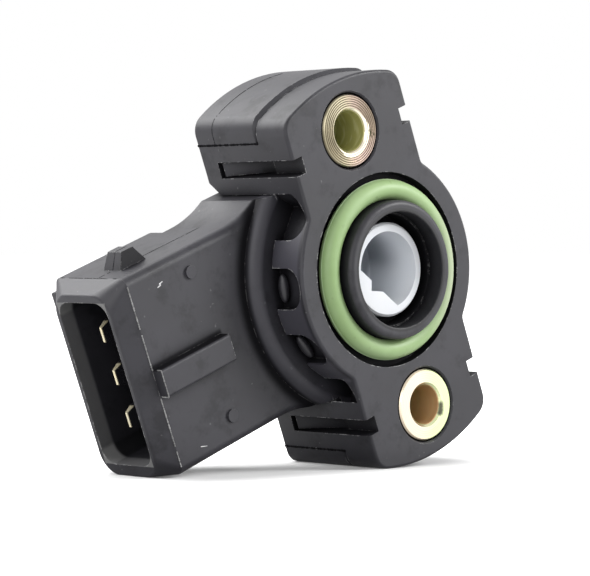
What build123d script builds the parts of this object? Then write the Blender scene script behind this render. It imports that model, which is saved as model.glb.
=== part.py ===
from build123d import *
from math import asin, atan2, cos, hypot, radians, sin, sqrt
import os

os.makedirs("parts", exist_ok=True)

# Throttle position sensor, in millimetres. It stands as it rests, on its lower ear and on
# the lower lip of its plug. The origin is on the rotor's axis at the mounting face.
# Depths are measured back from the mounting face, reaches out from the rotor's axis.
# Names that end in turn or spread are angles in degrees.

# Bolts and ears
bolt_spacing = 33.0
bush_od = 8.4
bush_bore = 4.5
bush_chamfer = 0.3
bush_gap = 0.05
bush_mouth = 0.2
ear_width = 18.6
ear_wall = 1.7
ear_corner = 2.0
ear_edge = 0.35
seam_chamfer = 0.4
back_chamfer = 0.5
back_rise = 0.45
bevel_turn = 45.0

# Mounting face, collar and O-ring
flange_thick = 4.8
collar_od = 15.6
collar_wall = 1.3
collar_height = 2.1
collar_step = 0.2
collar_edge = 0.6
collar_lip = 0.15
groove_width = 3.15
groove_depth = 1.35
o_ring_section = 2.3
o_ring_gap = 0.02
ring_wall = 2.3
root_round = 0.9

# Pockets in the rim of the flange
pocket_skin = 0.5
pocket_wall = 1.05
pocket_reach = 15.4
pocket_width = 4.6
pocket_arch = 2.1
pocket_turn = 33.5
pocket_middle_turn = -5.0
pocket_rows = (-1.5, -0.5, 0.5, 1.5)

# Latch arms and their catches
arm_thick = 1.4
arm_width = 5.9
arm_middle = 15.4
arm_depth = 14.9
arm_chamfer = 1.5
window_width = 1.9
window_depth = 12.5
latch_gap = 0.1
catch_gap = 0.15
catch_play = 0.5
catch_rise = 1.25

# Drum of the housing
drum_od = 32.2
drum_round = 1.5
back_wall = 1.65
flank_round = 13.0
core_wall = 1.6
core_width = 2.9
core_depth = 6.0
core_spread = 24.0
core_turn = 36.0

# Plug shroud
plug_width = 22.75
plug_thick = 12.2
plug_front = 6.15
plug_drop = 0.3
plug_reach = 31.1
plug_round = 1.0
nose_length = 2.45
lip_width = 21.2
lip_thick = 9.45
lip_sag = 0.25
lip_forward = 0.45
lip_corner = 2.6
lip_round = 0.3
socket_width = 19.0
socket_thick = 8.3
socket_round = 1.8
socket_floor = 21.6
key_width = 3.1
key_drop = 0.95
key_length = 10.3
key_height = 1.5
key_edge = 0.3
rear_key_width = 2.0
rear_key_spacing = 16.6
rear_key_height = 1.4
pip_radius = 0.75
pip_height = 0.25
pip_reach = 22.4
pip_spacing = 16.9
lug_reach = 27.05
lug_depth = 10.85
lug_length = 3.7
lug_thick = 2.9
lug_top_length = 1.6
lug_top_thick = 2.4
lug_height = 1.8

# Blade terminals
pin_pitch = 5.0
blade_width = 2.8
blade_thick = 0.8
blade_tip = 31.6
point_length = 1.25
point_width = 1.7
point_thick = 0.3
tail_lap = 1.2
insert_gap = 0.02

# Rotor
rotor_od = 10.6
rotor_bore = 8.6
rotor_edge = 0.25
socket_depth = 7.4
drive_flat = 2.5
drive_turn = 214.0
notch_start = -1.45
notch_apex = -0.8
notch_end = 0.75
notch_depth = 0.95
bearing_gap = 0.05
bearing_wall = 1.9
bearing_lip = 2.2
bearing_boss = 1.8
shoulder_od = 13.6
disc_lip = 0.3
disc_thick = 1.1
stub_od = 4.8
stub_seat = 0.4
stub_wall = 1.2
stub_room = 0.3
washer_thick = 0.4
end_play = 0.1

# Return spring
spring_wire = 0.7
spring_turns = 3
spring_gap = 0.35
spring_room = 0.3
spring_pitch = 0.95
spring_hole_gap = 0.1
spring_leg = 0.9
spring_leg_od = 0.64

# Board, tracks and wiper
board_thick = 1.0
board_gap = 0.2
track_thick = 0.1
track_width = 1.0
track_inset = 0.1
track_space = 1.6
track_turn = 153.0
wiper_thick = 0.3
wiper_turn = -45.0
wiper_spread = 50.0
brush_width = 0.7
brush_length = 2.4
brush_gap = 0.08
throttle_turn = 95.0
stop_spread = 10.0
stop_play_turn = 0.5
tab_gap = 0.4
tab_turn = 20.0
notch_spread = 4.0

# Seal between the two halves
seal_width = 0.7
seal_height = 1.4
seal_gap = 0.05
spigot_depth = 1.5
spigot_wall = 0.7

# Worked-out sizes
bolt_reach = bolt_spacing / 2
ear_reach = bolt_reach + bush_od / 2 + ear_wall
ear_half = ear_width / 2
bush_hole = bush_od / 2 + bush_gap
collar_r = collar_od / 2
groove_r = collar_r + groove_width
ring_r = groove_r + ring_wall
pocket_floor = groove_r + pocket_wall
pocket_ways = (-pocket_middle_turn, 180 - pocket_middle_turn)
arm_inner = ear_half - arm_thick
arm_low = arm_middle - arm_width / 2
arm_high = arm_middle + arm_width / 2
waist_half = arm_inner - latch_gap
drum_r = drum_od / 2
plug_half = plug_width / 2
plug_back = plug_front + plug_thick
plug_middle = plug_front + plug_thick / 2
lip_middle = plug_middle - lip_forward
plug_top = plug_half - plug_drop
flank_end = sqrt((drum_r + flank_round) ** 2 - (plug_top + flank_round) ** 2)
plug_step = flank_end + plug_round
lip_drop = plug_drop + lip_sag
lip_reach = plug_reach + nose_length
lip_low = lip_width / 2 + lip_drop
nose_taper = atan2(plug_half + plug_drop - lip_low, nose_length)
board_front = plug_middle + blade_thick / 2 + track_thick
cavity_depth = board_front + board_thick
drum_depth = cavity_depth + back_wall
rotor_r = rotor_od / 2
bearing_r = rotor_r + bearing_gap
boss_r = bearing_r + bearing_wall
boss_depth = flange_thick + bearing_boss
shoulder_depth = boss_depth + washer_thick + end_play
spring_r = boss_r + spring_gap + spring_wire / 2
spring_edge = spring_r + spring_wire / 2
spigot_r = spring_edge + spring_room + spigot_wall
cavity_r = spigot_r + seal_width + 2 * seal_gap
disc_r = spring_edge + disc_lip
spring_start = flange_thick + spring_wire
spring_length = spring_turns * spring_pitch
disc_depth = spring_start + spring_length + spring_wire
leg_length = spring_leg + spring_wire + spring_wire / 2
disc_back = disc_depth + disc_thick
stub_end = cavity_depth + stub_seat
pivot_r = stub_od / 2 + bearing_gap + stub_wall
pivot_top = board_front - stub_room
seat_depth = flange_thick + spigot_depth
track_edge = disc_r - track_inset
resistor_r = track_edge - track_width / 2
collector_r = resistor_r - track_width - track_space
tail_end = resistor_r - tail_lap
stop_r = disc_r + tab_gap
tab_r = cavity_r - tab_gap
stop_turns = (
    tab_turn - stop_spread - stop_play_turn,
    tab_turn + throttle_turn + stop_spread + stop_play_turn,
)
wiper_back = disc_back + wiper_thick
brush_end = board_front - track_thick - brush_gap
catch_width = window_width - 2 * catch_gap
catch_end = window_depth - catch_play
core_r = cavity_r + core_wall
o_ring_r = collar_r + o_ring_gap + o_ring_section / 2

# The lean at which the plug's lower lip and the lower ear's corner stand on one floor
lip_out = lip_reach - lip_round
lip_down = lip_low - lip_round * (1 - sin(nose_taper)) / cos(nose_taper)
corner_out = ear_half - ear_corner
corner_down = sqrt((ear_reach - ear_corner) ** 2 - corner_out**2)
stance = hypot(lip_out - corner_out, corner_down - lip_down)
lean = atan2(corner_down - lip_down, lip_out - corner_out) + asin((ear_corner - lip_round) / stance)

# Directions: across the ears away from the plug, along the bolt line, out of the mounting face,
# and from the rotor's axis to its drive key
across = Vector(cos(lean), 0, sin(lean))
along = Vector(-sin(lean), 0, cos(lean))
outward = Vector(0, -1, 0)
drive = across * cos(radians(drive_turn)) + along * sin(radians(drive_turn))
spin = Axis((0, 0, 0), outward)
plug_way = Axis((0, 0, 0), across * -1)

# Planes: the mounting face, two sections through the rotor's axis that look down and up the bolt
# line, the plug's end, the ears' sides
face = Plane(origin=(0, 0, 0), x_dir=across, z_dir=outward)
section = Plane(origin=(0, 0, 0), x_dir=across, z_dir=along * -1)
crest = Plane(origin=(0, 0, 0), x_dir=across, z_dir=along)
plug = Plane(origin=(0, 0, 0), x_dir=along, z_dir=across * -1)
side = Plane(origin=(0, 0, 0), x_dir=along, z_dir=across)


def sector(inner, outer, middle, spread):
    # Part of a ring, from its two radii, its middle angle and the angle that it spans
    with BuildLine() as edge:
        near = CenterArc((0, 0), inner, middle - spread / 2, spread)
        far = CenterArc((0, 0), outer, middle - spread / 2, spread)
        Line(near @ 0, far @ 0)
        Line(near @ 1, far @ 1)
    make_face(edge.edges())


def rim_plane(turn):
    # Floor of a pocket in the rim, at the back of the flange, facing out at the given angle
    out = across * cos(radians(turn)) + along * sin(radians(turn))
    return Plane(origin=out * pocket_floor - outward * flange_thick, x_dir=outward.cross(out), z_dir=out)


def ear_outline(rise):
    # Both ears in one strip, with round ends about the rotor's axis, the upper end raised
    with BuildSketch() as strip:
        with Locations((0, 0), (0, rise)):
            Circle(ear_reach)
        Rectangle(ear_width, 2 * (ear_reach + rise), mode=Mode.INTERSECT)
        fillet(strip.vertices(), ear_corner)
    add(strip.sketch)


# Coil of the return spring, from the rotor's disc forward to the flange
with BuildLine() as coil:
    Helix(spring_pitch, spring_length, spring_r, outward * -(spring_start + spring_length), outward)
coil_start = coil.line @ 0
coil_radial = Vector(coil_start.X, 0, coil_start.Z)
rotor_end = face.to_local_coords(coil_start)
flange_end = face.to_local_coords(coil.line @ 1)

# Front half of the case
with BuildPart() as mounting_flange:
    with BuildSketch(face.offset(-flange_thick)) as plate:
        ear_outline(0)
        Circle(ring_r)
        fillet(plate.vertices().filter_by(lambda v: abs(v.Y) < ring_r), root_round)
    extrude(amount=flange_thick)
    fillet(mounting_flange.faces().sort_by(spin)[-1].edges(), ear_edge)

    # Groove for the O-ring, then the collar inside it
    with BuildSketch(face.offset(-groove_depth)):
        Circle(groove_r)
    extrude(amount=groove_depth, mode=Mode.SUBTRACT)
    with BuildSketch(face.offset(-groove_depth)):
        Circle(collar_r)
    extrude(amount=groove_depth + collar_height)

    # Bearing boss and the spigot that enters the housing
    with BuildSketch(face.offset(-boss_depth)):
        Circle(boss_r)
    extrude(amount=bearing_boss)
    with BuildSketch(face.offset(-seat_depth)):
        Circle(spigot_r)
        Circle(spigot_r - spigot_wall, mode=Mode.SUBTRACT)
    extrude(amount=spigot_depth)

    # Stepped mouth of the collar with a rounded rim, then the bearing bore
    with BuildSketch(face):
        Circle(collar_r - collar_wall)
    extrude(amount=collar_height, mode=Mode.SUBTRACT)
    fillet(mounting_flange.faces().sort_by(spin)[-1].edges().sort_by(SortBy.RADIUS)[-1], collar_edge)
    fillet(mounting_flange.faces().sort_by(spin)[-1].edges().sort_by(SortBy.RADIUS)[0], collar_lip)
    with BuildSketch(face.offset(-bearing_lip)):
        Circle(collar_r - collar_wall - collar_step)
    extrude(amount=bearing_lip, mode=Mode.SUBTRACT)
    with BuildSketch(face.offset(-boss_depth)):
        Circle(bearing_r)
    extrude(amount=boss_depth, mode=Mode.SUBTRACT)

    # Pockets round the rim, arched under the skin of the mounting face and open at the back
    with BuildSketch(*(rim_plane(way + row * pocket_turn) for way in pocket_ways for row in pocket_rows)):
        RectangleRounded(pocket_width, 2 * (flange_thick - pocket_skin), pocket_arch)
    extrude(amount=pocket_reach - pocket_floor, mode=Mode.SUBTRACT)

    # Latch arms, each a loop round its window
    with BuildSketch(side.offset(arm_inner), side.offset(-ear_half)):
        with BuildLine():
            Polyline(
                (arm_low, -flange_thick),
                (arm_low, arm_chamfer - arm_depth),
                (arm_low + arm_chamfer, -arm_depth),
                (arm_high, -arm_depth),
                (arm_high, -flange_thick),
                close=True,
            )
        make_face()
        mirror(about=Plane.YZ)
    extrude(amount=arm_thick)
    with BuildSketch(face.offset(-window_depth)):
        with GridLocations(2 * arm_inner + arm_thick, 2 * arm_middle, 2, 2):
            Rectangle(arm_thick, window_width)
    extrude(amount=window_depth, mode=Mode.SUBTRACT)

    # Bolt sleeves and the spring's fixed end
    with BuildSketch(face.offset(-flange_thick)):
        with GridLocations(0, bolt_spacing, 1, 2):
            Circle(bush_hole)
    extrude(amount=flange_thick, mode=Mode.SUBTRACT)
    with BuildSketch(face.offset(-bush_mouth)):
        with GridLocations(0, bolt_spacing, 1, 2):
            Circle(bush_hole)
    extrude(amount=bush_mouth, taper=-bevel_turn, mode=Mode.SUBTRACT)
    with BuildSketch(face.offset(-flange_thick)):
        with Locations((flange_end.X, flange_end.Y)):
            Circle(spring_leg_od / 2 + spring_hole_gap)
    extrude(amount=spring_leg + spring_hole_gap, mode=Mode.SUBTRACT)
mounting_flange.part.label = "mounting_flange"
export_step(mounting_flange.part, "parts/mounting_flange.step")

# Rear half of the case
with BuildPart() as sensor_housing:
    # Neck from the drum to the plug, flared into the drum and rounded along its front edges
    with BuildSketch(face.offset(-drum_depth)) as neck:
        with Locations((-plug_step, -plug_drop)):
            Rectangle(2 * plug_step, plug_width)
        Circle(drum_r)
        fillet(neck.vertices().sort_by(Axis.X)[2:4], flank_round)
        with Locations((-plug_step - drum_r, 0)):
            Rectangle(drum_od, drum_od, mode=Mode.SUBTRACT)
    extrude(amount=drum_depth - plug_front)
    fillet(sensor_housing.faces().sort_by(spin)[-1].edges().sort_by(plug_way)[:-1], plug_round)

    # Drum with a rounded front rim
    with BuildSketch(section):
        with BuildLine():
            Line((0, -flange_thick), (drum_r - drum_round, -flange_thick))
            rim = RadiusArc(
                (drum_r - drum_round, -flange_thick), (drum_r, -flange_thick - drum_round), drum_round
            )
            Polyline(rim @ 1, (drum_r, -drum_depth), (0, -drum_depth), (0, -flange_thick))
        make_face()
    revolve(axis=spin)

    # Ear backs, broken at the seam between the halves and at the back
    with BuildSketch(face.offset(back_chamfer - drum_depth)):
        ear_outline(back_rise)
    extrude(amount=drum_depth - flange_thick - back_chamfer - seam_chamfer)
    with BuildSketch(face.offset(-flange_thick - seam_chamfer)):
        ear_outline(back_rise)
    extrude(amount=seam_chamfer, taper=bevel_turn)
    with BuildSketch(face.offset(back_chamfer - drum_depth)):
        ear_outline(back_rise)
    extrude(amount=-back_chamfer, taper=bevel_turn)

    # Plug shroud, its keys and its nose
    with BuildSketch(plug.offset(plug_step)):
        with Locations((-plug_drop, plug_middle)):
            RectangleRounded(plug_width, plug_thick, plug_round)
    extrude(amount=plug_reach - plug_step)
    with BuildSketch(plug.offset(plug_reach - key_length)):
        with Locations((-key_drop, plug_front)):
            RectangleRounded(key_width, 2 * key_height, key_edge)
        with Locations((-rear_key_spacing / 2, plug_back), (rear_key_spacing / 2, plug_back)):
            RectangleRounded(rear_key_width, 2 * rear_key_height, key_edge)
    extrude(amount=key_length)
    with BuildSketch(plug.offset(plug_reach)):
        with Locations((-plug_drop, plug_middle)):
            RectangleRounded(plug_width, plug_thick, plug_round)
    with BuildSketch(plug.offset(lip_reach)):
        with Locations((-lip_drop, lip_middle)):
            RectangleRounded(lip_width, lip_thick, lip_corner)
    loft()
    fillet(sensor_housing.faces().sort_by(plug_way)[-1].edges(), lip_round)

    # Lock lug on the upper narrow side, and pips on the front
    with BuildSketch(crest.offset(plug_top)):
        with Locations((-lug_reach, lug_depth)):
            Rectangle(lug_length, lug_thick)
    with BuildSketch(crest.offset(plug_top + lug_height)):
        with Locations((-lug_reach, lug_depth)):
            Rectangle(lug_top_length, lug_top_thick)
    loft()
    with BuildSketch(face.offset(-plug_front)):
        with Locations((-pip_reach, -pip_spacing / 2), (-pip_reach, pip_spacing / 2)):
            Circle(pip_radius)
    extrude(amount=pip_height)

    # Socket for the mating plug, and the slots that the terminals pass through
    with BuildSketch(plug.offset(socket_floor)):
        with Locations((-plug_drop, lip_middle)):
            RectangleRounded(socket_width, socket_thick, socket_round)
    extrude(amount=lip_reach - socket_floor, mode=Mode.SUBTRACT)
    with BuildSketch(plug.offset(tail_end)):
        with Locations((-plug_drop, plug_middle)):
            with GridLocations(pin_pitch, 0, 3, 1):
                Rectangle(blade_width + 2 * insert_gap, blade_thick + 2 * insert_gap)
    extrude(amount=socket_floor - tail_end, mode=Mode.SUBTRACT)

    # Cavity
    with BuildSketch(face.offset(-cavity_depth)):
        Circle(cavity_r)
    extrude(amount=cavity_depth - flange_thick, mode=Mode.SUBTRACT)

    # Pivot boss and the two stops for the rotor
    with BuildSketch(face.offset(-cavity_depth)):
        Circle(pivot_r)
    extrude(amount=cavity_depth - pivot_top)
    with BuildSketch(face.offset(-stub_end - stub_room)):
        Circle(stub_od / 2 + bearing_gap)
    extrude(amount=stub_end + stub_room - pivot_top, mode=Mode.SUBTRACT)
    with BuildSketch(face.offset(-cavity_depth)):
        for turn in stop_turns:
            sector(stop_r, cavity_r + seal_width / 2, turn, stop_spread)
    extrude(amount=cavity_depth - seat_depth)

    # Room for the latch arms, then the ramp catches that they snap over
    with BuildSketch(face.offset(-drum_depth)):
        with GridLocations(waist_half + drum_r, 2 * arm_middle, 2, 2):
            Rectangle(drum_r - waist_half, arm_width + 2 * latch_gap)
    extrude(amount=drum_depth - flange_thick, mode=Mode.SUBTRACT)
    catch_sides = (-arm_middle - catch_width / 2, arm_middle - catch_width / 2)
    with BuildSketch(*(section.offset(side_at) for side_at in catch_sides)):
        with BuildLine():
            Polyline(
                (waist_half - latch_gap, -flange_thick - seam_chamfer),
                (waist_half, -flange_thick - seam_chamfer),
                (waist_half + catch_rise, -catch_end),
                (waist_half - latch_gap, -catch_end),
                close=True,
            )
        make_face()
        mirror(about=Plane.YZ)
    extrude(amount=catch_width)

    # Bolt sleeves, and coring behind the drum
    with BuildSketch(face.offset(-drum_depth)):
        with GridLocations(0, bolt_spacing, 1, 2):
            Circle(bush_hole)
    extrude(amount=drum_depth - flange_thick, mode=Mode.SUBTRACT)
    with BuildSketch(face.offset(-drum_depth)):
        for row in (-1, 0, 1):
            sector(core_r, core_r + core_width, row * core_turn, core_spread)
    extrude(amount=core_depth, mode=Mode.SUBTRACT)
sensor_housing.part.label = "sensor_housing"
export_step(sensor_housing.part, "parts/sensor_housing.step")

# Bolt sleeves
for name, spot in (("upper_bush", bolt_reach), ("lower_bush", -bolt_reach)):
    with BuildPart() as bush:
        with BuildSketch(face.offset(-drum_depth)):
            with Locations((0, spot)):
                Circle(bush_od / 2)
                Circle(bush_bore / 2, mode=Mode.SUBTRACT)
        extrude(amount=drum_depth)
        chamfer(bush.edges().filter_by(GeomType.CIRCLE), bush_chamfer)
    bush.part.label = name
    export_step(bush.part, f"parts/{name}.step")

# Seal round the collar, standing proud of its groove
with BuildPart() as o_ring:
    with BuildSketch(section):
        with Locations((o_ring_r, o_ring_section / 2 + o_ring_gap - groove_depth)):
            Circle(o_ring_section / 2)
    revolve(axis=spin)
o_ring.part.label = "o_ring"
export_step(o_ring.part, "parts/o_ring.step")

# Seal between the two halves, round the spigot
with BuildPart() as housing_seal:
    with BuildSketch(face.offset(-seat_depth)):
        Circle(cavity_r - seal_gap)
        Circle(spigot_r + seal_gap, mode=Mode.SUBTRACT)
    extrude(amount=seal_height)
housing_seal.part.label = "housing_seal"
export_step(housing_seal.part, "parts/housing_seal.step")

# Rotor: hub, shoulder, disc with its stop tab, and rear stub
with BuildPart() as rotor:
    with BuildSketch(face.offset(-disc_depth)):
        Circle(rotor_r)
    extrude(amount=disc_depth)
    chamfer(rotor.faces().sort_by(spin)[-1].edges(), rotor_edge)
    with BuildSketch(face.offset(-disc_depth)):
        Circle(shoulder_od / 2)
    extrude(amount=disc_depth - shoulder_depth)
    with BuildSketch(face.offset(-disc_back)):
        Circle(disc_r)
        sector(shoulder_od / 2, tab_r, tab_turn, stop_spread)
    extrude(amount=disc_thick)
    with BuildSketch(face.offset(-stub_end)):
        Circle(stub_od / 2)
    extrude(amount=stub_end - disc_back)

    # Blind drive socket, with a flat key that has a vee notch across it
    with BuildSketch(Plane(origin=outward * -socket_depth, x_dir=drive, z_dir=outward)):
        Circle(rotor_bore / 2)
        with Locations((drive_flat + rotor_bore / 2, 0)):
            Rectangle(rotor_bore, rotor_bore, mode=Mode.SUBTRACT)
        with BuildLine():
            Polyline(
                (drive_flat, notch_start),
                (drive_flat + notch_depth, notch_apex),
                (drive_flat, notch_end),
                close=True,
            )
        make_face()
    extrude(amount=socket_depth, mode=Mode.SUBTRACT)
    with BuildSketch(face.offset(-disc_depth - spring_leg - spring_hole_gap)):
        with Locations((rotor_end.X, rotor_end.Y)):
            Circle(spring_leg_od / 2 + spring_hole_gap)
    extrude(amount=spring_leg + spring_hole_gap, mode=Mode.SUBTRACT)
rotor.part.label = "rotor"
export_step(rotor.part, "parts/rotor.step")

# Return spring, a coil of square wire with a straight round leg at each end
with BuildPart() as return_spring:
    with BuildSketch(Plane(origin=coil_start, x_dir=coil_radial, z_dir=coil.line % 0)):
        Rectangle(spring_wire, spring_wire)
    sweep(path=coil.line, is_frenet=True)
    with BuildSketch(face.offset(-disc_depth - spring_leg)):
        with Locations((rotor_end.X, rotor_end.Y)):
            Circle(spring_leg_od / 2)
    extrude(amount=leg_length)
    with BuildSketch(face.offset(-spring_start - spring_wire / 2)):
        with Locations((flange_end.X, flange_end.Y)):
            Circle(spring_leg_od / 2)
    extrude(amount=leg_length)
return_spring.part.label = "return_spring"
export_step(return_spring.part, "parts/return_spring.step")

# Ring that takes the rotor's thrust
with BuildPart() as thrust_washer:
    with BuildSketch(face.offset(-boss_depth - washer_thick)):
        Circle(shoulder_od / 2)
        Circle(bearing_r + bearing_gap, mode=Mode.SUBTRACT)
    extrude(amount=washer_thick)
thrust_washer.part.label = "thrust_washer"
export_step(thrust_washer.part, "parts/thrust_washer.step")

# Wiper: a plate behind the rotor's disc, with one sprung finger for each track
with BuildPart() as wiper:
    with BuildSketch(face.offset(-wiper_back)):
        sector(collector_r - track_width, track_edge, wiper_turn, wiper_spread)
    extrude(amount=wiper_thick)
    lead = radians(wiper_turn + wiper_spread / 2)
    radial = across * cos(lead) + along * sin(lead)
    tangent = along * cos(lead) - across * sin(lead)
    for reach in (collector_r, resistor_r):
        with BuildSketch(Plane(origin=radial * (reach - brush_width / 2), x_dir=tangent, z_dir=radial)):
            with BuildLine():
                Polyline(
                    (-wiper_thick, -disc_back),
                    (0, -disc_back),
                    (brush_length, wiper_thick - brush_end),
                    (brush_length, -brush_end),
                    (0, -wiper_back),
                    (-wiper_thick, -wiper_back),
                    close=True,
                )
            make_face()
        extrude(amount=brush_width)
wiper.part.label = "wiper"
export_step(wiper.part, "parts/wiper.step")

# Board on the cavity floor, notched round the rotor's stops
with BuildPart() as track_board:
    with BuildSketch(face.offset(-cavity_depth)):
        Circle(cavity_r - board_gap)
        Circle(pivot_r + board_gap, mode=Mode.SUBTRACT)
        with BuildSketch(mode=Mode.SUBTRACT):
            for turn in stop_turns:
                sector(stop_r - board_gap, cavity_r, turn, stop_spread + notch_spread)
    extrude(amount=board_thick)
track_board.part.label = "track_board"
export_step(track_board.part, "parts/track_board.step")

# Tracks on the board, each led to its terminals
with BuildPart() as resistor_track:
    with BuildSketch(face.offset(-board_front)):
        sector(track_edge - track_width, track_edge, 0, 2 * track_turn)
    extrude(amount=track_thick)
resistor_track.part.label = "resistor_track"
export_step(resistor_track.part, "parts/resistor_track.step")

with BuildPart() as collector_track:
    with BuildSketch(face.offset(-board_front)):
        with Locations((-(collector_r + tail_end + track_width) / 2, -plug_drop)):
            Rectangle(tail_end + track_width - collector_r, track_width)
        Circle(collector_r + track_width / 2)
        Circle(collector_r - track_width / 2, mode=Mode.SUBTRACT)
    extrude(amount=track_thick)
collector_track.part.label = "collector_track"
export_step(collector_track.part, "parts/collector_track.step")

# Blade terminals, from the board through the neck to their pointed tips
for name, row in (("terminal_supply", 1), ("terminal_signal", 0), ("terminal_ground", -1)):
    with BuildPart() as terminal:
        with BuildSketch(plug.offset(tail_end)):
            with Locations((row * pin_pitch - plug_drop, plug_middle)):
                Rectangle(blade_width, blade_thick)
        extrude(amount=blade_tip - point_length - tail_end)
        with BuildSketch(plug.offset(blade_tip - point_length)):
            with Locations((row * pin_pitch - plug_drop, plug_middle)):
                Rectangle(blade_width, blade_thick)
        with BuildSketch(plug.offset(blade_tip)):
            with Locations((row * pin_pitch - plug_drop, plug_middle)):
                Rectangle(point_width, point_thick)
        loft()
    terminal.part.label = name
    export_step(terminal.part, f"parts/{name}.step")
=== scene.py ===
import bpy
from math import asin, cos, pi, radians, sin
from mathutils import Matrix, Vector


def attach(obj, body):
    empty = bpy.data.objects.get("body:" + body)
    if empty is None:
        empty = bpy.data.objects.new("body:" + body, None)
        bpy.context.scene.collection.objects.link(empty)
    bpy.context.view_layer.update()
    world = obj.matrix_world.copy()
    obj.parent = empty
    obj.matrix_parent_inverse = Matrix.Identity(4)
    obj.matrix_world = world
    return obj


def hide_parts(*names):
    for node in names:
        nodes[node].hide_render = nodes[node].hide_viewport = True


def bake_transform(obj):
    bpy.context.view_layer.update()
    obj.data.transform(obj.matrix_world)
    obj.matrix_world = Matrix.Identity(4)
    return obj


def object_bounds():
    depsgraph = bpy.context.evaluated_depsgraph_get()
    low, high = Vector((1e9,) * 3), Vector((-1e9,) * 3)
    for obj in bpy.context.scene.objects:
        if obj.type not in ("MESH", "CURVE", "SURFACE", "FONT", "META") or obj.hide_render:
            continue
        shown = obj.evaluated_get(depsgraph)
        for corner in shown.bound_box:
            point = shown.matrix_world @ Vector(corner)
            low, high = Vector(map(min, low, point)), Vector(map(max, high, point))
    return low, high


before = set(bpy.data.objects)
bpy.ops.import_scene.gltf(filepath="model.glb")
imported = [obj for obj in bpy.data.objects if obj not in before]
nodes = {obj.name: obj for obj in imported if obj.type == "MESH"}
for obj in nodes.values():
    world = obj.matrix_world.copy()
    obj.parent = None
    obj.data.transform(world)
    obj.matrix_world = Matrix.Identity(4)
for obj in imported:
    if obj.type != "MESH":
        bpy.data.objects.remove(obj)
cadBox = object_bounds()
lowest = cadBox[0][2]
print("frame in", len(nodes), "nodes, floor at", round(lowest * 1000, 3), "mm")

# the sensor's own directions in mm: u across the ears, v along the bolt line, a out of the mounting face
lean = radians(21.0027)


def spot(u, v, a):
    return ((u * cos(lean) - v * sin(lean)) / 1000, -a / 1000, (u * sin(lean) + v * cos(lean)) / 1000)


class Wire:
    # a node's output that adds its own Math nodes

    def __init__(self, tree, socket):
        self.tree = tree
        self.socket = socket

    def math(self, operation, *values):
        node = self.tree.nodes.new("ShaderNodeMath")
        node.operation = operation
        for place, value in enumerate(values):
            plug(self.tree, node.inputs[place], value)
        return Wire(self.tree, node.outputs[0])

    def __add__(self, other):
        return self.math("ADD", self, other)

    def __radd__(self, other):
        return self.math("ADD", other, self)

    def __sub__(self, other):
        return self.math("SUBTRACT", self, other)

    def __rsub__(self, other):
        return self.math("SUBTRACT", other, self)

    def __mul__(self, other):
        return self.math("MULTIPLY", self, other)

    def __rmul__(self, other):
        return self.math("MULTIPLY", other, self)

    def __truediv__(self, other):
        return self.math("DIVIDE", self, other)

    def __rtruediv__(self, other):
        return self.math("DIVIDE", other, self)

    def __pow__(self, other):
        return self.math("POWER", self, other)

    def __abs__(self):
        return self.math("ABSOLUTE", self)

    def sine(self):
        return self.math("SINE", self)

    def most(self, other):
        return self.math("MAXIMUM", self, other)


def plug(tree, socket, value):
    if isinstance(value, Wire):
        tree.links.new(value.socket, socket)
    else:
        socket.default_value = value


class Graph:
    # a node tree with one method that adds any node: settings first, then sockets by name or as in0, in1

    def __init__(self, tree):
        self.tree = tree
        tree.nodes.clear()

    def node(self, kind, settings=None, out=0, **sockets):
        node = self.tree.nodes.new(kind)
        for key, value in (settings or {}).items():
            setattr(node, key, value)
        for key, value in sockets.items():
            numbered = key.startswith("in") and key[2:].isdigit()
            socket = node.inputs[int(key[2:]) if numbered else key.replace("_", " ")]
            plug(self.tree, socket, value)
        return Wire(self.tree, node.outputs[out]) if node.outputs else node


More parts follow.
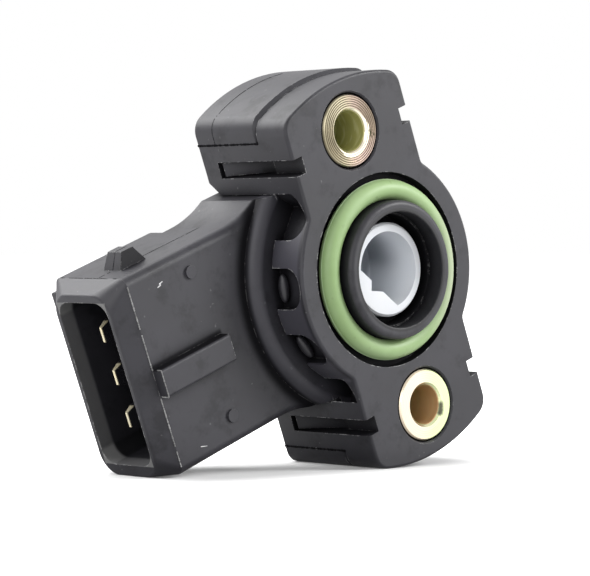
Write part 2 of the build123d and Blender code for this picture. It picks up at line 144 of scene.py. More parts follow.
class Finish(Graph):
    # the tree of a material or of the world, with the helpers that several finishes share

    def __init__(self, owner):
        owner.use_nodes = True
        super().__init__(owner.node_tree)
        self.owner = owner
        self.where = self.node("ShaderNodeTexCoord", out="Object")

    def vector(self, operation, out=0, **sockets):
        return self.node("ShaderNodeVectorMath", dict(operation=operation), out, **sockets)

    def noise(self, scale, detail=2.0, rough=0.5, shift=0.0):
        place = self.vector("ADD", in0=self.where, in1=(shift, shift * 0.7, shift * 1.3))
        return self.node("ShaderNodeTexNoise", Vector=place, Scale=scale, Detail=detail, Roughness=rough)

    def step(self, value, low, high):
        settings = dict(interpolation_type="SMOOTHSTEP")
        return self.node("ShaderNodeMapRange", settings, Value=value, From_Min=low, From_Max=high)

    # 1 between two limits, with soft ends inside them
    def band(self, value, low, high, rise, fall):
        return self.step(value, low, low + rise) * self.step(value, high, high - fall)

    # patches of noise, from the level where they start to the level where they are full
    def patches(self, start, full, *noise):
        return self.step(self.noise(*noise), start, full)

    def mix(self, factor, first, second):
        return self.node("ShaderNodeMix", dict(data_type="RGBA"), out=2, in0=factor, in6=first, in7=second)

    def axis(self, name):
        return self.node("ShaderNodeSeparateXYZ", out=name, Vector=self.where)

    # how far along one of the sensor's own directions, in mm
    def along(self, u, v, a):
        return self.vector("DOT_PRODUCT", "Value", in0=self.where, in1=spot(u, v, a)) * 1e6

    # distance in mm from a line through the spot, along the rotor's axis
    def radius(self, middle=(0, 0, 0)):
        x = self.axis("X") - middle[0]
        z = self.axis("Z") - middle[2]
        return (x * x + z * z) ** 0.5 * 1000

    # distance from a short stroke between two spots
    def stroke(self, start, end):
        run = tuple(e - s for s, e in zip(start, end))
        off = self.vector("SUBTRACT", in0=self.where, in1=start)
        dot = self.vector("DOT_PRODUCT", "Value", in0=off, in1=run)
        share = self.node("ShaderNodeClamp", Value=dot / sum(r * r for r in run))
        foot = self.vector("SCALE", in0=run, Scale=share)
        return self.vector("LENGTH", "Value", in0=self.vector("SUBTRACT", in0=off, in1=foot))

    def bump(self, height, strength, distance, **over):
        return self.node("ShaderNodeBump", Strength=strength, Distance=distance, Height=height, **over)

    # 1 for rays that show the background itself, 0 for those that only light the object
    def seenRays(self):
        rays = ("Is Camera Ray", "Is Glossy Ray", "Is Transmission Ray")
        path = [self.node("ShaderNodeLightPath", out=ray) for ray in rays]
        return path[0].most(path[1]).most(path[2])

    # grimeAndShade is the share of a dull black film over the finish: painted shade as well as dirt and
    # stains
    def close(self, grimeAndShade=None, **sockets):
        shader = self.node("ShaderNodeBsdfPrincipled", **sockets)
        if grimeAndShade:
            film = self.node("ShaderNodeBsdfPrincipled", **shadeAndGrimeFilm)
            shader = self.node("ShaderNodeMixShader", in0=grimeAndShade, in1=shader, in2=film)
        self.node("ShaderNodeOutputMaterial", Surface=shader)
        return self.owner


def grey(level):
    return (level, level * 0.97, level * 1.2, 1)


def pale(level):
    return (level, level, level, 1)


# dull black film, for painted shade in corners, slots and shaded faces, and for dirt and stains
shadeAndGrimeFilm = dict(Base_Color=grey(0.004), Roughness=0.8, Specular_IOR_Level=0.06)

# moulded plastic of both halves: a noise is scale, detail, roughness and shift,
# and patches are the levels where they start and are full, then their noise
plastic = dict(
    dark=0.022,
    light=0.032,
    mottle=(0.3, 0.7),
    cloud=(90, 3, 0.6),
    grain=(2600, 2, 0.6),
    swell=(420, 2, 0.5, 0.3),
    texture=dict(strength=0.35, distance=0.00003),
    rough=dict(base=0.40, cloud=0.1, haze=0.06, grain=0.05),
    gloss=dict(IOR=1.5, Specular_IOR_Level=0.42),
    edge=0.00008,  # rounding of the sharp edges
    dust=dict(
        tone=0.55,
        specks=(0.75, 0.81, 1500, 1, 0.5, 0.5),
        speckShare=0.11,
        haze=(0.5, 0.75, 38, 4, 0.65, 0.2),
        hazeShare=0.018,
    ),
    stain=dict(tone=0.010, patches=(0.5, 0.7, 260, 4, 0.7, 0.9), share=0.5, film=0.12),
    # painted shade in corners and slots, from ambient occlusion
    grimeAndShade=dict(reach=0.003, shut=0.3, clear=0.95, film=0.9),
    # pale sharp edges: wear, with a painted edge highlight
    rub=dict(
        tone=0.5,
        patches=(0.5, 0.6, 900, 4, 0.8, 0.6),
        reach=0.00022,
        flat=0.97,
        sharp=0.85,
        share=0.9,
    ),
)


# dirtAndShade adds the painted light and shade, and the marks, on this half, and returns the colour, the
# share of dark film and where edges can turn pale
def blackPlastic(name, dirtAndShade):
    f = Finish(bpy.data.materials.new(name))
    cloud = f.noise(*plastic["cloud"])
    grain = f.noise(*plastic["grain"])
    colour = f.mix(f.step(cloud, *plastic["mottle"]), grey(plastic["dark"]), grey(plastic["light"]))
    height = grain * 0.5 + f.noise(*plastic["swell"]) * 0.5
    # settled dust and handling marks, palest where the noise peaks
    dust = plastic["dust"]
    stain = plastic["stain"]
    haze = f.patches(*dust["haze"])
    dusty = f.patches(*dust["specks"]) * dust["speckShare"] + haze * dust["hazeShare"]
    stained = f.patches(*stain["patches"])
    colour = f.mix(stained * stain["share"], colour, grey(stain["tone"]))
    colour = f.mix(dusty, colour, pale(dust["tone"]))
    # painted shade in corners and slots, from ambient occlusion, but not where only the floor is near
    creviceShade = plastic["grimeAndShade"]
    exposed = f.node("ShaderNodeAmbientOcclusion", dict(samples=8), out="AO", Distance=creviceShade["reach"])
    lifted = f.step(f.axis("Z"), lowest, lowest + creviceShade["reach"])
    grimeAndShade = (1 - f.step(exposed, creviceShade["shut"], creviceShade["clear"])) * lifted * creviceShade["film"]
    grimeAndShade = grimeAndShade.most(stained * stain["film"])
    colour, grimeAndShade, sharp = dirtAndShade(f, colour, grimeAndShade)
    # pale patches on the sharp edges: wear, with a painted edge highlight
    rub = plastic["rub"]
    facing = f.node("ShaderNodeNewGeometry", out="Normal")
    rounded = f.node("ShaderNodeBevel", dict(samples=8), Radius=rub["reach"])
    turned = f.vector("DOT_PRODUCT", "Value", in0=rounded, in1=facing)
    rubbed = f.step(turned, rub["flat"], rub["sharp"]) * f.patches(*rub["patches"]) * sharp
    colour = f.mix(rubbed * rub["share"], colour, pale(rub["tone"]))
    softEdges = f.node("ShaderNodeBevel", dict(samples=6), Radius=plastic["edge"])
    rough = plastic["rough"]
    return f.close(
        grimeAndShade,
        Base_Color=colour,
        Roughness=rough["base"] + cloud * rough["cloud"] + haze * rough["haze"] + grain * rough["grain"],
        Normal=f.bump(height, **plastic["texture"], Normal=softEdges),
        **plastic["gloss"],
    )


# front half, in mm: painted shade in the collar's bore, and painted light on the webs between the rim's
# pockets
flangeLightAndShade = dict(
    # painted shade in the collar's bore
    bore=dict(radius=6.8, soft=0.2, share=0.8, tone=0.004),
    # painted light on the webs between the rim's pockets
    web=dict(radius=12.85, rise=0.3, half=9.6, soft=0.5, front=0.4, depth=0.5, lessShade=0.8, tone=0.07),
)


def paintFlangeLightAndShade(f, colour, grimeAndShade):
    bore = flangeLightAndShade["bore"]
    # painted shade darkens the collar's bore
    reach = f.radius()
    inside = 1 - f.step(reach, bore["radius"], bore["radius"] + bore["soft"])
    colour = f.mix(inside * bore["share"], colour, grey(bore["tone"]))
    # painted light on the webs, with less painted shade over them
    web = flangeLightAndShade["web"]
    outer = f.step(reach, web["radius"], web["radius"] + web["rise"])
    between = f.step(abs(f.along(0, 1, 0)), web["half"] + web["soft"], web["half"])
    behind = f.step(f.axis("Y") * 1000, web["front"], web["front"] + web["depth"])
    litWebs = outer * between * web["lessShade"]
    colour = f.mix(litWebs * behind, colour, grey(web["tone"]))
    return colour, grimeAndShade * (1 - litWebs), 1.0


# rear half, in mm, painted light and shade: a band is low, high and how softly it starts and ends inside
# them
housingLightAndShade = dict(
    # painted shade deep in the socket, and a painted lit band at its lip
    socket=dict(
        mouth=-32.0,
        floor=-21.0,
        fade=0.5,
        front=7.6,
        back=16.0,
        half=9.55,
        middle=-0.3,
        soft=0.1,
        share=0.9,
        tone=0.003,
        lip=0.17,
    ),
    # painted shadow round the drum, and painted light on its rim
    drum=dict(
        front=6.6,
        depth=0.5,
        rim=(14.4, 16.1, 0.4, 0.2),
        castShadow=(15.8, 17.9, 0.4, 1.4),
        share=0.6,
        tone=0.05,
        lessShade=0.75,
        film=0.95,
    ),
    # painted shadow above the key
    key=dict(
        top=0.6,
        rise=(-0.2, 0.8, 0.15, 0.6),
        depth=(4.75, 6.5, 0.25, 0.2),
        across=(-31.3, -20.4, 0.2, 0.4),
        film=0.85,
    ),
    # painted shade on the lug's front
    lug=dict(
        foot=11.075,
        front=9.4,
        slope=0.139,
        skin=(0.09, 0.04),
        rise=(0.0, 0.15),
        middle=-27.05,
        half=1.9,
        soft=0.1,
        film=0.65,
    ),
    pips=dict(across=-22.4, half=8.45, size=1.2, soft=0.3),
)

# two marks on the plug's front wall, a bright nick and a short scratch: places in mm, widths in m
marks = dict(
    wall=-6.15,
    share=0.9,
    tone=0.85,
    fray=(3000, 1, 0.5),
    nick=dict(way=((-26.42, 8.92), (-26.86, 8.83), (-26.76, 8.66), (-27.2, 8.56)), width=0.00008),
    scratch=dict(way=((-27.77, -9.81), (-26.95, -10.08)), width=0.00005),
)


def paintHousingMarksAndShade(f, colour, grimeAndShade):
    depth = f.axis("Y") * 1000
    across = f.along(1, 0, 0)
    rise = f.along(0, 1, 0)
    # painted shade darkens the socket's walls towards its floor, and a painted lit band makes its lip
    # paler
    socket = housingLightAndShade["socket"]
    inside = f.band(depth, socket["front"], socket["back"], socket["soft"], socket["soft"])
    inside = inside * f.step(abs(rise - socket["middle"]), socket["half"], socket["half"] - socket["soft"])
    deep = f.band(across, socket["mouth"], socket["floor"], socket["fade"], socket["fade"])
    lip = inside * (1 - f.step(across, socket["mouth"], socket["mouth"] + socket["fade"]))
    colour = f.mix(inside * deep * socket["share"], colour, grey(socket["tone"]))
    colour = f.mix(lip, colour, pale(socket["lip"]))
    # painted shadow lies round the drum, and its rim gets painted light and less painted shade
    drum = housingLightAndShade["drum"]
    reach = f.radius()
    front = f.step(depth, drum["front"] + drum["depth"], drum["front"])
    rim = f.band(reach, *drum["rim"]) * front
    castShadow = f.band(reach, *drum["castShadow"]) * front
    colour = f.mix(rim * drum["share"], colour, grey(drum["tone"]))
    grimeAndShade = (grimeAndShade * (1 - lip) * (1 - rim * drum["lessShade"])).most(castShadow * drum["film"])
    # painted shadow above the key, and painted shade on the lug's front
    key = housingLightAndShade["key"]
    keyShadow = f.band(rise - key["top"], *key["rise"]) * f.band(depth, *key["depth"])
    keyShadow = keyShadow * f.band(across, *key["across"])
    lug = housingLightAndShade["lug"]
    above = rise - lug["foot"]
    lugShade = f.step(depth - lug["front"] - above * lug["slope"], *lug["skin"]) * f.step(above, *lug["rise"])
    lugShade = lugShade * f.step(abs(across - lug["middle"]), lug["half"] + lug["soft"], lug["half"])
    grimeAndShade = grimeAndShade.most(keyShadow * key["film"]).most(lugShade * lug["film"])
    for mark in (marks["nick"], marks["scratch"]):
        way = [spot(u, v, marks["wall"]) for u, v in mark["way"]]
        for start, end in zip(way, way[1:]):
            off = f.stroke(start, end) + (f.noise(*marks["fray"]) - 0.5) * mark["width"]
            bare = 1 - f.step(off, mark["width"] * 0.5, mark["width"])
            colour = f.mix(bare * marks["share"], colour, pale(marks["tone"]))
    # the pips lie soft in the wall, with no painted shade and no pale edge patches
    pips = housingLightAndShade["pips"]
    away = [f.radius(spot(pips["across"], half, 0)) for half in (-pips["half"], pips["half"])]
    lower, upper = [f.step(reach, pips["size"], pips["size"] + pips["soft"]) for reach in away]
    clear = lower * upper
    return colour, grimeAndShade * clear, clear


# plated bolt sleeves: a passivated film on the end face, a painted reflection and highlight on the face, a
# bore with painted shade and painted reflection streaks, and a smudge beside it
sleeves = dict(
    upper=dict(
        middle=spot(0, 16.5, 0),
        gold=(0.52, 0.47, 0.33, 1),
        tint=(0.58, 0.43, 0.38, 1),
        sector=0.72,
        bore=(0.46, 0.44, 0.16, 1),
        boreShadedSide=(0.26, 0.28, 0.10, 1),
        rings=1.0,
        smudge=(spot(2.5, 15.6, 0), spot(3.1, 15.0, 0)),
        speckle=1.0,
    ),
    lower=dict(
        middle=spot(0, -16.5, 0),
        gold=(0.77, 0.66, 0.51, 1),
        tint=(0.67, 0.75, 0.41, 1),
        sector=0.0,
        bore=(0.66, 0.38, 0.19, 1),
        boreShadedSide=(0.30, 0.33, 0.12, 1),
        rings=0.15,
        smudge=(spot(2.25, -17.47, 0), spot(1.84, -18.28, 0)),
        speckle=0.0,
    ),
    ringPitch=0.25,
    firstRing=2.72,
    boreRadius=2.25,
    rim=4.04,
    # turn of the painted reflection's two dark sectors on the face
    dullTurn=radians(30),
    film=dict(slope=220, noise=(170, 2, 0.5), levels=(0.2, 0.8)),
    # tone of the painted reflection's dark sectors
    dull=(0.13, 0.11, 0.07, 1),
    groove=dict(tone=(0.06, 0.05, 0.03, 1), share=0.8),
    stain=dict(tone=(0.34, 0.33, 0.16, 1), share=0.12, patches=(0.55, 0.75, 300, 3, 0.6, 0.4)),
    dirtAndShade=dict(tone=(0.06, 0.07, 0.03, 1), share=0.95, film=0.65, fray=(1200, 2), levels=(0.3, 0.85)),
    holes=(0.42, 0.55, 2600, 2, 0.6),
    boreEdge=(0.02, 0.12),
    # painted shade and painted reflection streaks in the bore
    side=dict(noise=(700, 3, 0.6), levels=(1.0, 2.4)),
    reflectionStreaks=dict(tone=(0.66, 0.64, 0.34, 1), share=0.6, stretch=(0.2, 1, 0.2), levels=(0.5, 0.62)),
    deepShade=dict(tone=(0.20, 0.22, 0.06, 1), share=0.8, noise=(420, 2, 0.5, 0.8), levels=(0.8, 1.5)),
    # painted highlight on the bore's edge, then painted shade of the gap round the rim
    boreHighlight=dict(tone=(0.84, 0.78, 0.62, 1), start=(0.08, 0.16), end=(0.24, 0.36), side=3.0, wide=0.45),
    gapShade=dict(tone=(0.01, 0.01, 0.01, 1), soft=0.06),
)


def platedSleeve(name, look):
    f = Finish(bpy.data.materials.new(name))
    bore = sleeves["boreRadius"]
    reach = f.radius(look["middle"])
    x = f.axis("X") - look["middle"][0]
    z = f.axis("Z") - look["middle"][2]
    film = sleeves["film"]
    tinted = f.step(x * film["slope"] + f.noise(*film["noise"]), *film["levels"])
    colour = f.mix(tinted, look["gold"], look["tint"])
    # turned face, with a painted reflection: two dark sectors
    sector = (x.math("ARCTAN2", z, x) * 2 + sleeves["dullTurn"]).sine() * 0.5 + 0.5
    colour = f.mix(sector * look["sector"], colour, sleeves["dull"])
    groove = sleeves["groove"]
    turned = ((reach - sleeves["firstRing"]) * (2 * pi / sleeves["ringPitch"])).sine() * 0.5 + 0.5
    colour = f.mix(turned * groove["share"] * look["rings"], colour, groove["tone"])
    stain = sleeves["stain"]
    stained = f.patches(*stain["patches"])
    colour = f.mix(stained * stain["share"], colour, stain["tone"])
    # smudge, with small holes on the upper sleeve
    dirtAndShade = sleeves["dirtAndShade"]
    dirty = 1 - f.step(f.stroke(*look["smudge"]) * 1000 + f.noise(*dirtAndShade["fray"]) * 0.5, *dirtAndShade["levels"])
    dirty = dirty * (1 - f.patches(*sleeves["holes"]) * look["speckle"])
    colour = f.mix(dirty * dirtAndShade["share"], colour, dirtAndShade["tone"])
    # bore, with painted shade on its left wall, painted reflection streaks round its wall, and painted
    # shade towards the back in a ragged band
    inside = 1 - f.step(reach, *(bore + past for past in sleeves["boreEdge"]))
    side = sleeves["side"]
    right = f.step(x * 1000 + f.noise(*side["noise"]) * 3, *side["levels"])
    wall = f.mix(right, look["boreShadedSide"], look["bore"])
    reflectionStreaks = sleeves["reflectionStreaks"]
    drawn = f.vector("MULTIPLY", in0=f.where, in1=reflectionStreaks["stretch"])
    lines = f.step(f.node("ShaderNodeTexNoise", Vector=drawn, Scale=1300, Detail=2.0), *reflectionStreaks["levels"])
    wall = f.mix(lines * reflectionStreaks["share"] * look["rings"], wall, reflectionStreaks["tone"])
    deepShade = sleeves["deepShade"]
    deepShaded = f.step(f.axis("Y") * 100 + f.noise(*deepShade["noise"]), *deepShade["levels"])
    colour = f.mix(inside, colour, f.mix(deepShaded * deepShade["share"], wall, deepShade["tone"]))
    # painted highlight on the edge of the bore, widest at its lower right, and painted shade of the gap
    # round the rim
    boreHighlight = sleeves["boreHighlight"]
    wide = f.step((x - z) * 1000, 0.0, boreHighlight["side"]) * boreHighlight["wide"]
    highlit = f.step(reach, *(bore + past for past in boreHighlight["start"]))
    highlit = highlit * (1 - f.step(reach - wide, *(bore + past for past in boreHighlight["end"])))
    colour = f.mix(highlit * look["rings"], colour, boreHighlight["tone"])
    gapShade = sleeves["gapShade"]
    colour = f.mix(f.step(reach, sleeves["rim"], sleeves["rim"] + gapShade["soft"]), colour, gapShade["tone"])
    return f.close(
        dirty * dirtAndShade["film"],
        Metallic=1 - inside * 0.8,
        Base_Color=colour,
        Roughness=0.26 + stained * 0.14 + inside * 0.2,
        Normal=f.bump(f.noise(900, 2), 0.15, 0.00004),
    )


# seal, with the grime that settles on it, and a painted highlight that makes its right side paler
seal = dict(
    cloud=(0.3, 0.7, 160, 3, 0.6),
    grimeAndShade=dict(tone=(0.10, 0.12, 0.06, 1), share=0.25, patches=(0.66, 0.78, 700, 2, 0.6, 0.6)),
    # painted highlight on the seal's right side
    worn=dict(tone=(0.58, 0.60, 0.46, 1), share=0.55, start=0.005, end=0.010),
)


def greenRubber(name, first, second):
    f = Finish(bpy.data.materials.new(name))
    grimeAndShade = seal["grimeAndShade"]
    worn = seal["worn"]
    cloud = f.patches(*seal["cloud"])
    grimy = f.patches(*grimeAndShade["patches"])
    colour = f.mix(grimy * grimeAndShade["share"], f.mix(cloud, first, second), grimeAndShade["tone"])
    colour = f.mix(f.step(f.axis("X"), worn["start"], worn["end"]) * worn["share"], colour, worn["tone"])
    return f.close(
        IOR=1.45,
        Base_Color=colour,
        Roughness=0.42 + cloud * 0.1 + grimy * 0.2,
        Normal=f.bump(f.noise(1800, 2, 0.6), 0.12, 0.00002),
    )


# blades, with painted shade on their bodies and painted highlights on their tips and bevel edges
blades = dict(
    tip=31.6,
    drop=0.3,
    pitch=5.0,
    pointWidth=1.7,
    taper=0.44,
    # painted highlights on the tips and bevel edges, with painted shade on the body
    tipHighlight=(0.05, 0.12),
    edgeHighlight=(-0.12, -0.04),
    highlightEnd=(0.8, 1.1),
    dull=grey(0.01),
    brass=((0.90, 0.78, 0.50, 1), (0.96, 0.88, 0.64, 1)),
    metal=0.4,
)


def bladeMetal():
    f = Finish(bpy.data.materials.new("bladeMetal"))
    cloud = f.patches(0.32, 0.68, 450, 3, 0.6)
    reach = f.along(1, 0, 0) + blades["tip"]
    rise = f.along(0, 1, 0) + blades["drop"]
    rise = rise.math("WRAP", rise, blades["pitch"] / 2, -blades["pitch"] / 2)
    edge = rise - blades["pointWidth"] / 2 - reach * blades["taper"]
    wornEdge = f.step(edge, *blades["edgeHighlight"]) * (1 - f.step(reach, *blades["highlightEnd"]))
    worn = (1 - f.step(reach, *blades["tipHighlight"])).most(wornEdge)
    return f.close(
        Metallic=worn * blades["metal"],
        Base_Color=f.mix(worn, blades["dull"], f.mix(cloud, *blades["brass"])),
        Roughness=0.2 + cloud * 0.12,
        Normal=f.bump(f.noise(2700, 2), 0.1, 0.00002),
    )


# rotor, with painted shade towards the floor of its drive socket, except on the right-hand wall
socketShade = dict(front=0.0014, floor=0.0062, share=0.86, left=0.0034, right=0.0052, lessShade=0.95)
rotorTones = dict(white=((0.86, 0.89, 0.93, 1), (0.90, 0.92, 0.95, 1)), shade=(0.20, 0.22, 0.25, 1))


def whitePlastic():
    f = Finish(bpy.data.materials.new("whitePlastic"))
    cloud = f.patches(0.32, 0.68, 120, 3, 0.6)
    side = f.axis("X") - f.axis("Z") * 0.5
    # less painted shade on the right-hand wall
    lessShade = f.step(side, socketShade["left"], socketShade["right"]) * socketShade["lessShade"]
    deep = f.step(f.axis("Y"), socketShade["front"], socketShade["floor"]) * socketShade["share"]
    colour = f.mix(deep * (1 - lessShade), f.mix(cloud, *rotorTones["white"]), rotorTones["shade"])
    return f.close(
        Base_Color=colour,
        Roughness=0.34 + cloud * 0.12,
        Normal=f.bump(f.noise(720, 2), 0.1, 0.00002),
    )


# a finish of two tones with fine grain
def plainFinish(name, first, second, metal, rough, scale, shine=0.5):
    f = Finish(bpy.data.materials.new(name))
    cloud = f.patches(0.32, 0.68, scale, 3, 0.6)
    return f.close(
        Metallic=metal,
        Specular_IOR_Level=shine,
        Base_Color=f.mix(cloud, first, second),
        Roughness=rough + cloud * 0.12,
        Normal=f.bump(f.noise(scale * 6, 2, 0.5), 0.1, 0.00002),
    )


finishes = dict(
    mounting_flange=blackPlastic("blackPlasticFlange", paintFlangeLightAndShade),
    sensor_housing=blackPlastic("blackPlasticHousing", paintHousingMarksAndShade),
    upper_bush=platedSleeve("platedSleeveUpper", sleeves["upper"]),
    lower_bush=platedSleeve("platedSleeveLower", sleeves["lower"]),
    o_ring=greenRubber("greenRubber", (0.33, 0.49, 0.21, 1), (0.39, 0.55, 0.27, 1)),
    rotor=whitePlastic(),
    housing_seal=plainFinish("blackRubber", grey(0.018), grey(0.03), 0.0, 0.6, 400),
    return_spring=plainFinish("springSteel", (0.55, 0.55, 0.56, 1), (0.66, 0.66, 0.66, 1), 1.0, 0.25, 500),
    wiper=plainFinish("contactMetal", (0.74, 0.60, 0.34, 1), (0.82, 0.70, 0.44, 1), 1.0, 0.22, 500),
    track_board=plainFinish("boardLaminate", (0.36, 0.42, 0.24, 1), (0.46, 0.50, 0.32, 1), 0.0, 0.5, 350),
    resistor_track=plainFinish("resistorFilm", grey(0.02), grey(0.045), 0.0, 0.45, 600),
    terminal_supply=bladeMetal(),
)
finishes["thrust_washer"] = finishes["return_spring"]
finishes["collector_track"] = finishes["wiper"]
finishes["terminal_signal"] = finishes["terminal_supply"]
finishes["terminal_ground"] = finishes["terminal_supply"]
for name, thing in nodes.items():
    thing.data.materials.clear()
    thing.data.materials.append(finishes[name])
print("finishes on", len(nodes), "nodes")


class Grower(Graph):
    # a Geometry Nodes tree with named inputs, that ends in one plain mesh on a body

    def __init__(self, name, **inputs):
        super().__init__(bpy.data.node_groups.new(name, "GeometryNodeTree"))
        self.socket("Path", "Geometry", "INPUT")
        self.names = {key: self.socket(key, kind, "INPUT") for key, kind in inputs.items()}
        self.socket("Mesh", "Geometry", "OUTPUT")

    def socket(self, name, kind, way):
        return self.tree.interface.new_socket(name, in_out=way, socket_type="NodeSocket" + kind).identifier

    def given(self, name):
        return self.node("NodeGroupInput", out=name)

    def end(self, geometry):
        real = self.node("GeometryNodeRealizeInstances", Geometry=geometry)
        painted = self.node("GeometryNodeSetMaterial", Geometry=real, Material=self.given("Finish"))
        self.node("NodeGroupOutput", Mesh=painted)

    # rides on the case, or, given two ends, stays unattached with its placing baked into its mesh
    def grow(self, name, slot, points, edges, ends=None, **values):
        path = bpy.data.meshes.new(name)
        path.from_pydata(points, edges, [])
        piece = bpy.data.objects.new(name, path)
        bpy.context.collection.objects.link(piece)
        modifier = piece.modifiers.new(name, "NODES")
        modifier.node_group = self.tree
        for key, value in values.items():
            modifier[self.names[key]] = value
        grown = piece.evaluated_get(bpy.context.evaluated_depsgraph_get())
        mesh = bpy.data.meshes.new_from_object(grown)
        piece.modifiers.remove(modifier)
        piece.data = mesh
        if ends:
            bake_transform(piece)
        else:
            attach(piece, "case")
        print(name, len(mesh.polygons), "faces")
        return piece


# links each point of a way to the next
def chain(way):
    return [(place, place + 1) for place in range(len(way) - 1)]


# rings round the path's point, one inside the other, flat against the rotor's axis
ringStack = Grower("ringStack", Count="Int", First="Float", Pitch="Float", Wire="Float", Finish="Material")
ringSize = ringStack.node("GeometryNodeInputIndex") * ringStack.given("Pitch") + ringStack.given("First")
dots = ringStack.node("GeometryNodeMeshLine", Count=ringStack.given("Count"), Offset=(0, 0, 0))
hoop = ringStack.node("GeometryNodeCurvePrimitiveCircle", Resolution=96, Radius=1.0)
hoops = ringStack.node(
    "GeometryNodeInstanceOnPoints", Points=dots, Instance=hoop, Rotation=(pi / 2, 0, 0), Scale=ringSize
)
hoops = ringStack.node("GeometryNodeRealizeInstances", Geometry=hoops)
ringWire = ringStack.node("GeometryNodeCurvePrimitiveCircle", Resolution=8, Radius=ringStack.given("Wire"))
ringTubes = ringStack.node("GeometryNodeCurveToMesh", Curve=hoops, Profile_Curve=ringWire)
ringMiddle = ringStack.node(
    "GeometryNodeSampleIndex",
    dict(data_type="FLOAT_VECTOR"),
    Geometry=ringStack.given("Path"),
    Value=ringStack.node("GeometryNodeInputPosition"),
)
ringTubes = ringStack.node("GeometryNodeSetPosition", Geometry=ringTubes, Offset=ringMiddle)
ringStack.end(ringStack.node("GeometryNodeSetShadeSmooth", Geometry=ringTubes))

# turned ridges on the upper sleeve's end
ridges = dict(count=5, wire=0.00004)
ringStack.grow(
    "turnedRidges",
    "plated_sleeve",
    [sleeves["upper"]["middle"]],
    [],
    Count=ridges["count"],
    First=sleeves["firstRing"] / 1000,
    Pitch=sleeves["ringPitch"] / 1000,
    Wire=ridges["wire"],
    Finish=plainFinish("turnedRidge", (0.05, 0.04, 0.03, 1), (0.24, 0.19, 0.12, 1), 1.0, 0.3, 300),
)

# mould line round the seal
sealLine = dict(depth=-0.18, radius=0.01012, wire=0.00005)
ringStack.grow(
    "sealMouldLine",
    "green_rubber",
    [spot(0, 0, sealLine["depth"])],
    [],
    Count=1,
    First=sealLine["radius"],
    Pitch=0.0,
    Wire=sealLine["wire"],
    Finish=greenRubber("sealLineRubber", (0.40, 0.55, 0.30, 1), (0.46, 0.60, 0.36, 1)),
)

# return spring: a round wire that winds up between the flange and the rotor
spring = dict(radius=7.95, front=5.5, back=8.35, turns=3, steps=24, leg=1.6, wire=0.32, bend=0.35)
coilWire = Grower("coilWire", Wire="Float", Bend="Float", Finish="Material")
coilRoute = coilWire.node("GeometryNodeMeshToCurve", Mesh=coilWire.given("Path"))
coilRoute = coilWire.node(
    "GeometryNodeFilletCurve",
    dict(mode="POLY"),
    Curve=coilRoute,
    Radius=coilWire.given("Bend"),
    Count=4,
    Limit_Radius=True,
)
section = coilWire.node("GeometryNodeCurvePrimitiveCircle", Resolution=10, Radius=coilWire.given("Wire"))
coilTube = coilWire.node("GeometryNodeCurveToMesh", Curve=coilRoute, Profile_Curve=section, Fill_Caps=True)
coilWire.end(coilWire.node("GeometryNodeSetShadeSmooth", Geometry=coilTube))


def coilSpot(share):
    t = 2 * pi * spring["turns"] * share
    depth = spring["back"] + (spring["front"] - spring["back"]) * share
    return (spring["radius"] * sin(t) / 1000, depth / 1000, -spring["radius"] * cos(t) / 1000)


def legSpot(depth):
    return (0, depth / 1000, -spring["radius"] / 1000)


coilCount = spring["turns"] * spring["steps"]
coilWay = [legSpot(spring["back"] + spring["leg"])]
coilWay += [coilSpot(share / coilCount) for share in range(coilCount + 1)]
coilWay += [legSpot(spring["front"] - spring["leg"])]
coil = coilWire.grow(
    "returnCoil",
    "spring_steel",
    coilWay,
    chain(coilWay),
    ends=((0, spring["front"] / 1000, 0), (0, spring["back"] / 1000, 0)),
    Wire=spring["wire"] / 1000,
    Bend=spring["bend"] / 1000,
    Finish=finishes["return_spring"],
)
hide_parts("return_spring")

# low mounds in the middle pockets of the rim, long side along the rim
mounds = dict(
    radius=12.55,
    depth=-3.8,
    middle=-5.0,
    turn=33.5,
    rows=(-0.5, 0.5),
    size=(0.0006, 0.0006, 0.0016),
)
moundBed = Grower("moundBed", Size="Vector", Finish="Material")
bead = moundBed.node("GeometryNodeMeshUVSphere", Segments=20, Rings=10, Radius=1.0)
moundSpot = moundBed.node("GeometryNodeInputPosition")
moundX = moundBed.node("ShaderNodeSeparateXYZ", out="X", Vector=moundSpot)
moundZ = moundBed.node("ShaderNodeSeparateXYZ", out="Z", Vector=moundSpot)
outwards = moundBed.node("ShaderNodeCombineXYZ", Y=0 - moundZ.math("ARCTAN2", moundZ, moundX))
seats = moundBed.node("GeometryNodeMeshToPoints", Mesh=moundBed.given("Path"))
crowd = moundBed.node(
    "GeometryNodeInstanceOnPoints",
    Points=seats,
    Instance=bead,
    Rotation=outwards,
    Scale=moundBed.given("Size"),
)
moundBed.end(moundBed.node("GeometryNodeSetShadeSmooth", Geometry=crowd))
moundWay = []
for start in (-mounds["middle"], 180 - mounds["middle"]):
    for row in mounds["rows"]:
        t = radians(start + row * mounds["turn"])
        moundWay.append(spot(mounds["radius"] * cos(t), mounds["radius"] * sin(t), mounds["depth"]))
moundBed.grow(
    "pocketMounds",
    "black_plastic",
    moundWay,
    [],
    Size=mounds["size"],
    Finish=plainFinish("moundPlastic", grey(0.016), grey(0.026), 0.0, 0.42, 300),
)

